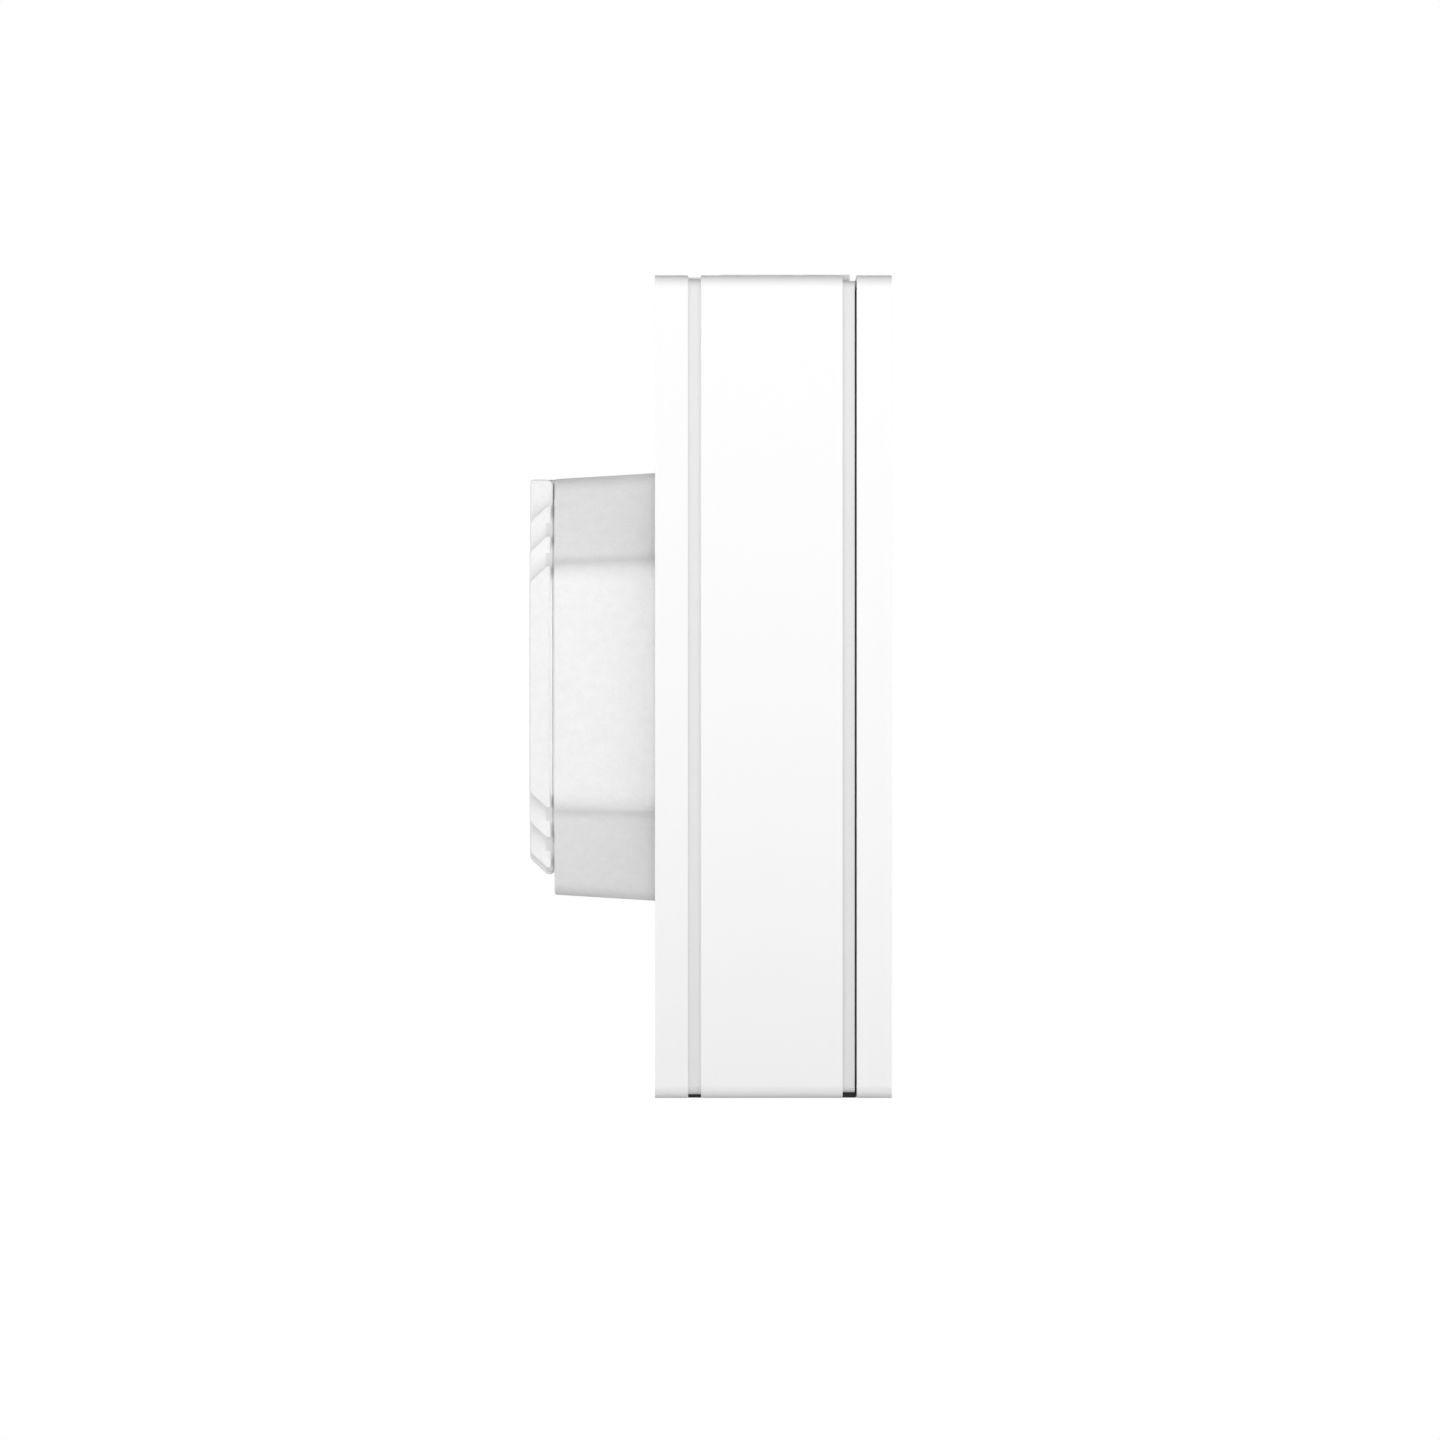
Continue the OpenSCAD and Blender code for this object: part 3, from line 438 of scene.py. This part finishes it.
class Shell:
    """Collects lofted walls and flat caps, and turns them into a piece of the model."""

    def __init__(self, place=facing_front, centre=(0, 0)):
        self.bm = bmesh.new()
        self.place = place
        self.centre = Vector(centre)

    def ring(self, outline, depth, inset=0.0, scale=(1, 1)):
        ring = []
        for point, normal in outline:
            u = self.centre.x + point.x * scale[0] - normal.x * inset
            v = self.centre.y + point.y * scale[1] - normal.y * inset
            ring.append(self.bm.verts.new(self.place(u, v, depth)))
        return ring

    def loft(self, *rings):
        for low, high in zip(rings, rings[1:]):
            for i in range(len(low)):
                j = (i + 1) % len(low)
                self.bm.faces.new((low[i], low[j], high[j], high[i]))

    def cap(self, outer, *holes):
        loops = [outer, *holes]
        flat = [vert for loop in loops for vert in loop]
        for triangle in tessellate_polygon([[vert.co for vert in loop] for loop in loops]):
            self.bm.faces.new([flat[i] for i in triangle])

    def fillet(self, outline, depth, towards, radius, scale=(1, 1), hole=False, steps=4):
        """Rings of a quarter round that ends flat at depth.

        The flat faces the side, -1 or 1, given by towards. With hole, the outline bounds an opening.
        """
        rings = []
        for i in range(steps + 1):
            angle = math.pi / 2 * i / steps
            drop = radius * (1 - math.sin(angle))
            inset = radius * (1 - math.cos(angle)) * (-1 if hole else 1)
            rings.append(self.ring(outline, depth - towards * drop, inset, scale))
        return rings

    def prism(self, outline, low, high, edge):
        """Closed body between two depths with rounded rims."""
        bottom = self.fillet(outline, low, -1, edge)[::-1]
        top = self.fillet(outline, high, 1, edge)
        self.loft(*bottom, *top)
        self.cap(bottom[0])
        self.cap(top[-1])

    def piece(self, name, slot, body, *stands_for):
        bmesh.ops.recalc_face_normals(self.bm, faces=self.bm.faces)
        for vert in self.bm.verts:
            vert.co *= MM
        mesh = bpy.data.meshes.new(name)
        self.bm.to_mesh(mesh)
        self.bm.free()
        obj = bpy.data.objects.new(name, mesh)
        bpy.context.collection.objects.link(obj)
        return enrol(obj, slot, body, *stands_for)


# Folds above this angle stay sharp on the custom pieces
CREASE = math.radians(32)


def enrol(obj, slot, body, *stands_for):
    """Shades a custom piece, gives it its material and lets it ride on its body."""
    obj.data.polygons.foreach_set("use_smooth", [True] * len(obj.data.polygons))
    obj.data.set_sharp_from_angle(angle=CREASE)
    obj.data.materials.clear()
    obj.data.materials.append(material_of(slot))
    normals = obj.modifiers.new("normals", "WEIGHTED_NORMAL")
    normals.keep_sharp = True
    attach(obj, body)
    if stands_for:
        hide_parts(*stands_for)
    return obj


def carve(obj, lo, hi):
    """Cuts a block out of a custom piece."""
    bm = bmesh.new()
    bmesh.ops.create_cube(bm, size=1)
    lo, hi = Vector(lo) * MM, Vector(hi) * MM
    for vert in bm.verts:
        vert.co = [(a + b) / 2 + c * (b - a) for c, a, b in zip(vert.co, lo, hi)]
    mesh = bpy.data.meshes.new("cutter")
    bm.to_mesh(mesh)
    bm.free()
    cutter = bpy.data.objects.new("cutter", mesh)
    bpy.context.collection.objects.link(cutter)
    cut = obj.modifiers.new("cut", "BOOLEAN")
    cut.object = cutter
    cut.solver = "EXACT"
    bpy.context.view_layer.update()
    graph = bpy.context.evaluated_depsgraph_get()
    result = bpy.data.meshes.new_from_object(obj.evaluated_get(graph))
    obj.modifiers.remove(cut)
    obj.data = result
    bpy.data.objects.remove(cutter)


# ---------- in-wall box ----------

# Half width and height at the wall face, and the depth behind it
BOX_HALF_W = 23
BOX_HALF_H = 32
BOX_D = 15.1
BOX_CHAMFER = 14
# How much smaller each half is at the end of the box
BOX_DRAFT = 0.9
# Width and height of the step between the flat sides and the slants
BOX_STEP = (3.0, 1.8)
BAY_FLOOR = 3
# The low land around the bay: its height, and how much larger it is than the cover's plate
LAND_H = 0.2
LAND_GROWTH = 0.12
# Notch for the cables in the box's lower wall
NOTCH_LO = (0, 8, -34)
NOTCH_HI = (6.5, BOX_D + 1, -27)


def mirrored(quarter):
    """The whole outline, counter-clockwise, from the corners of its first quarter."""
    flipped = quarter[::-1]
    return (quarter + [(-x, z) for x, z in flipped] + [(-x, -z) for x, z in quarter]
            + [(x, -z) for x, z in flipped])


def draft_scale(depth):
    """Scale in X and Z of the box's outline at this depth."""
    return (1 - BOX_DRAFT / BOX_HALF_W * depth / BOX_D, 1 - BOX_DRAFT / BOX_HALF_H * depth / BOX_D)


def make_in_wall_box():
    """The box that goes into the wall, with the terminal bay open at its end."""
    rim_r = 0.3
    mouth_r = 0.3
    floor_r = 0.5
    bay_corner_r = 1.2
    overlap = 1.9
    step_gap = 0.2
    side_z = BOX_HALF_H - BOX_CHAMFER - step_gap
    quarter = [(BOX_HALF_W, side_z), (BOX_HALF_W - BOX_STEP[0], side_z + BOX_STEP[1]),
               (BOX_HALF_W - BOX_CHAMFER, BOX_HALF_H)]
    corner_r = [4, 6, 6, 6, 6, 4] * 2
    outline = rounded_outline(mirrored(quarter), corner_r, 12)
    bay_corners = [(20.2, -16), (20.2, 16), (10.6, 25.6), (-10.6, 25.6), (-20.2, 16), (-20.2, -16),
                   (-8.8, -27.4), (8.8, -27.4)]
    bay = rounded_outline(bay_corners, [bay_corner_r] * 8, 6)
    shell = Shell()
    back = shell.ring(outline, housing_hi.y - overlap)
    root = shell.ring(outline, 0)
    rim = shell.fillet(outline, BOX_D, 1, rim_r, scale=draft_scale(BOX_D))
    land = plate_outline(-LAND_GROWTH)
    land_foot = shell.ring(land, BOX_D)
    land_top = shell.ring(land, BOX_D + LAND_H)
    mouth = shell.fillet(bay, BOX_D + LAND_H, 1, mouth_r, hole=True)
    foot = shell.fillet(bay, BAY_FLOOR, -1, floor_r)
    shell.cap(back)
    shell.loft(back, root, *rim)
    shell.cap(rim[-1], land_foot)
    shell.loft(land_foot, land_top)
    shell.cap(land_top, mouth[-1])
    shell.loft(*mouth[::-1], *foot)
    shell.cap(foot[-1])
    box = shell.piece("wall_box_shell", "bead_white", "base", "in_wall_box")
    carve(box, NOTCH_LO, NOTCH_HI)
    box.data.set_sharp_from_angle(angle=CREASE)


def make_box_flange():
    """The plate inside the housing that the in-wall box grows out of."""
    half_w = 30
    half_h = 39
    slant = 15
    low, high = housing_hi.y - 4, housing_hi.y - 2
    corners = mirrored([(half_w, half_h - slant), (half_w - slant, half_h)])
    flange = Shell()
    flange.prism(rounded_outline(corners, [1] * 8, 4), low, high, 0.2)
    flange.piece("wall_box_flange", "bead_white", "base", "in_wall_box")


def make_hinge_lugs():
    """Two lugs at the top of the box, which hold the pin of the cover."""
    lug_x = 5.15
    half_w = 1.15
    front, back = 14.6, 18
    bottom, top = 28.1, 31
    corners = [(front, bottom), (back, bottom), (back, top), (front, top)]
    outline = rounded_outline(corners, [0.2, 0.6, 0.4, 0.1], 4)
    for side, ending in ((-1, "l"), (1, "r")):
        lug = Shell(facing_side)
        lug.prism(outline, side * lug_x - half_w, side * lug_x + half_w, 0.15)
        lug.piece("wall_box_lug_" + ending, "bead_white", "base", "in_wall_box")


# ---------- terminal cover ----------

# Depth of the cover behind the box's end, and the groove between the two
LIP_D = 3.65
GROOVE_W = 0.5
RIB_W = 1.8
RIB_X = [side * (2.9 + 4.5 * i) for side in (-1, 1) for i in range(5)]
# The ribs nearer to the middle than this are the hinge ears
EAR_X = 8
EAR_TOP = 31.0
EAR_GAP = 0.2


def rib_profile(x):
    """Outline of the rib at x in the YZ plane, with the radius of each corner."""
    tip_half_w, tip_half_h = BOX_HALF_W - BOX_DRAFT, BOX_HALF_H - BOX_DRAFT
    set_in = 0.2
    highest, lowest = 27.1, 28
    reach = tip_half_h - max(0, abs(x) - (tip_half_w - BOX_CHAMFER)) - set_in
    up, down = min(reach, highest), -min(reach, lowest)
    front, back = BOX_D + GROOVE_W, BOX_D + LIP_D
    foot = BOX_D + 1.1
    drop = 2.4
    low = [(front, down), (foot, down), (back, down + drop)]
    low_r = [0.36, 0.55, 1.2]
    if abs(x) < EAR_X:
        front = BOX_D + EAR_GAP
        low[0] = (front, down)
        return low + [(back, EAR_TOP), (front, EAR_TOP)], low_r + [0.6, 1.08]
    return low + [(back, up - drop), (foot, up), (front, up)], low_r + low_r[::-1]


def plate_outline(inset):
    """Outline of the cover's plate, which stays below the hinge."""
    side_gap = 0.6
    slant_gap = 1.3
    half_w = BOX_HALF_W - BOX_DRAFT - side_gap - inset
    chamfer_z = BOX_HALF_H - BOX_DRAFT - BOX_CHAMFER - slant_gap
    top = 26.9 - inset
    bottom = 27.6 - inset
    corners = [(half_w, -chamfer_z), (half_w, chamfer_z), (half_w + chamfer_z - top, top),
               (top - half_w - chamfer_z, top), (-half_w, chamfer_z), (-half_w, -chamfer_z),
               (bottom - half_w - chamfer_z, -bottom), (half_w + chamfer_z - bottom, -bottom)]
    return rounded_outline(corners, [1.5] * 8, 6)


def make_terminal_cover():
    """Ten ribs on a thin plate, with a tongue at the bottom that snaps into the bay."""
    rib_edge = 0.36
    plate_edge = 0.08
    plate_gap, plate_end = 0.22, 1.2
    tongue_place = (-4, -26.5)
    tongue_in, tongue_end = 1.9, 0.6
    for i, x in enumerate(RIB_X):
        corners, radii = rib_profile(x)
        rib = Shell(facing_side)
        rib.prism(rounded_outline(corners, radii, 6), x - RIB_W / 2, x + RIB_W / 2, rib_edge)
        rib.piece(f"cover_rib_{i}", "bead_white", "terminal_cover", "terminal_cover")
    plate = Shell()
    plate.prism(plate_outline(0), BOX_D + plate_gap, BOX_D + plate_end, plate_edge)
    plate.piece("cover_plate", "bead_white", "terminal_cover", "terminal_cover")
    tongue = Shell()
    snap = shifted(rect_outline(3, 0.4, 0.25, 4), tongue_place)
    tongue.prism(snap, BOX_D - tongue_in, BOX_D + tongue_end, 0.15)
    tongue.piece("cover_tongue", "bead_white", "terminal_cover", "terminal_cover")


# ---------- data jack details ----------

def make_jack_details():
    """Eight sprung contacts in the jack's mouth, and two pressed tabs on its shield."""
    lo, hi = node_box("rj45_jack")
    middle = (lo.x + hi.x) / 2
    pitch = 1.02
    contact_w = 0.4
    foot = Vector((lo.y + 1.45, lo.z + 2.2))
    tip = Vector((lo.y + 4.1, lo.z + 11.2))
    thick = Vector((0.3, 0))
    for i in range(8):
        x = middle + (i - 3.5) * pitch
        contact = Shell(facing_side)
        contact.prism(rounded_outline([foot, foot + thick, tip + thick, tip], [0.1] * 4, 3),
                      x - contact_w / 2, x + contact_w / 2, 0.06)
        contact.piece(f"jack_contact_{i}", "mic_gold", "base")
    tab_x = 4
    tab_z = lo.z + 11
    for i, x in enumerate((middle - tab_x, middle + tab_x)):
        tab = Shell(centre=(x, tab_z))
        tab.prism(rect_outline(1.6, 5, 0.8), hi.y - 0.05, hi.y + 0.15, 0.1)
        tab.piece(f"jack_tab_{i}", "jack_steel", "base")


# ---------- front details ----------

def make_pir_lens():
    """A shallow milky dome with the ring steps of a Fresnel lens."""
    hole_r = 5.8
    flange_r = 7
    front = face_lo.y + 0.05
    flange_y = face_lo.y + 2
    dome_r = 34
    step_r = 0.58
    step_depth = 0.09
    riser_w = 0.03
    centre = ((pir_lo.x + pir_hi.x) / 2, (pir_lo.z + pir_hi.z) / 2)
    shell = Shell(centre=centre)
    rings = []
    count = int(hole_r / step_r)
    for i in range(1, count + 1):
        r = i * step_r
        depth = front + r * r / (2 * dome_r)
        rings.append(shell.ring(circle_outline(r), depth + step_depth))
        if i < count:
            rings.append(shell.ring(circle_outline(r + riser_w), depth))
    shell.cap(rings[0])
    rim = rings[-1][0].co.y
    rings.append(shell.ring(circle_outline(hole_r), rim + 0.15))
    rings.append(shell.ring(circle_outline(hole_r), flange_y))
    rings.append(shell.ring(circle_outline(flange_r), flange_y))
    rings.append(shell.ring(circle_outline(flange_r), pir_hi.y))
    shell.loft(*rings)
    shell.cap(rings[-1])
    return shell.piece("pir_fresnel", "pir_white", "faceplate", "pir_lens")


def make_window_mask():
    """The black print behind the window, with clear rounds for the lens and the infrared LEDs."""
    lens_lo, lens_hi = node_box("lens_barrel")
    led_hi = node_box("ir_leds")[1]
    led_r = 1.5
    led_hole_r = 2.1
    lens_hole_r = 6.4
    trim_inner_r = 6.45
    trim_outer_r = 7.5
    margin = 2.4
    z = (lens_lo.z + lens_hi.z) / 2
    led_x = led_hi.x - led_r
    led_z = led_hi.z - led_r - z
    shell = Shell(centre=(0, z))
    half_w = window_hi.x - margin
    half_h = (window_hi.z - window_lo.z) / 2 - margin
    outer = rect_outline(half_w, half_h, 2.5)
    holes = [circle_outline(lens_hole_r)]
    for x in (-led_x, led_x):
        for dz in (-led_z, 0, led_z):
            holes.append(shifted(circle_outline(led_hole_r, 32), (x, dz)))
    low, high = window_hi.y + 0.02, window_hi.y + 0.12
    loops_low = [shell.ring(loop, low) for loop in [outer] + holes]
    loops_high = [shell.ring(loop, high) for loop in [outer] + holes]
    for a, b in zip(loops_low, loops_high):
        shell.loft(a, b)
    shell.cap(*loops_low)
    shell.cap(*loops_high)
    mask = shell.piece("window_mask", "black_plastic", "faceplate")
    mask.data.materials[0] = material_of("window_print")
    trim = Shell(centre=(0, z))
    inner, outer = circle_outline(trim_inner_r), circle_outline(trim_outer_r)
    front = low - 0.01
    trim.loft(trim.ring(inner, front), trim.ring(outer, front), trim.ring(outer, high),
              trim.ring(inner, high), trim.ring(inner, front))
    bmesh.ops.remove_doubles(trim.bm, verts=trim.bm.verts, dist=1e-4)
    trim.piece("lens_trim", "steel", "faceplate")


# ---------- springs ----------

def make_spring(node, depth_axis, fixed_high, radius, turns):
    """Wire coil whose first and last half turn lie flat.

    depth_axis is 1 for Y and 2 for Z. fixed_high is not used: the anchor it picks is never read.
    """
    wire_r = 0.2
    sides = 12
    steps = round(turns * 32)
    lo, hi = node_box(node)
    middle = (lo + hi) / 2
    length = hi[depth_axis] - lo[depth_axis]
    if depth_axis == 1:
        shell = Shell(facing_front, (middle.x, middle.z))
    else:
        shell = Shell(facing_up, (middle.x, middle.y))
    rings = []
    for i in range(steps + 1):
        turn = i / steps * turns
        rise = min(max((turn - 0.5) / (turns - 1), 0), 1)
        angle = 2 * math.pi * turn
        ring = []
        for j in range(sides):
            around = 2 * math.pi * j / sides
            out = radius + wire_r * math.cos(around)
            depth = lo[depth_axis] + wire_r + rise * (length - 2 * wire_r) + wire_r * math.sin(around)
            ring.append(shell.bm.verts.new(shell.place(shell.centre.x + out * math.cos(angle),
                                                       shell.centre.y + out * math.sin(angle), depth)))
        rings.append(ring)
    shell.loft(*rings)
    shell.cap(rings[0])
    shell.cap(rings[-1])
    spring = shell.piece(node + "_coil", SLOTS[node], "base", node)
    anchor = [c * MM for c in middle]
    anchor[depth_axis] = (hi if fixed_high else lo)[depth_axis] * MM
    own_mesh(spring)


# ---------- finishing of the CAD nodes ----------

# Edge radius in millimetres of the nodes that aren't at the default
EDGE_RADIUS = {
    # drip_seals: the near-black pieces at the seams' lower ends are painted shade, standing in for the shadow
    # in the recess
    "wall_bracket": 0.25, "main_housing": 0.25, "faceplate": 0.3, "button_cap": 0.3, "top_latch": 0.15,
    "drip_seals": 0.03, "lens_seal": 0, "lens_element": 0, "camera_ribbon": 0,
}
DEFAULT_EDGE = 0.1
# Folds above this angle are edges
EDGE_ANGLE = math.radians(35)


def dress(name):
    """Gives a CAD node its material, and rounds its edges with modifiers."""
    obj = nodes[name]
    obj.data.materials.clear()
    obj.data.materials.append(material_of(SLOTS[name]))
    weld = obj.modifiers.new("weld", "WELD")
    weld.merge_threshold = 1e-6
    radius = EDGE_RADIUS.get(name, DEFAULT_EDGE)
    if radius:
        bevel = obj.modifiers.new("edges", "BEVEL")
        bevel.width = radius * MM
        bevel.segments = 3
        bevel.limit_method = "ANGLE"
        bevel.angle_limit = EDGE_ANGLE
        bevel.use_clamp_overlap = True
        bevel.miter_outer = "MITER_ARC"
        normals = obj.modifiers.new("normals", "WEIGHTED_NORMAL")
        normals.mode = "FACE_AREA"
        normals.weight = 100
        normals.keep_sharp = True
    else:
        split = obj.modifiers.new("creases", "EDGE_SPLIT")
        split.split_angle = EDGE_ANGLE
    for polygon in obj.data.polygons:
        polygon.use_smooth = True


make_camera()
make_world()
make_floor()
make_in_wall_box()
make_box_flange()
make_hinge_lugs()
make_terminal_cover()
make_jack_details()
make_pir_lens()
make_window_mask()
make_spring("button_spring", 1, True, 4.2, 2.5)
make_spring("latch_spring", 2, False, 0.75, 4)
for node_name in nodes:
    dress(node_name)

bpy.context.scene.view_settings.view_transform = "Standard"
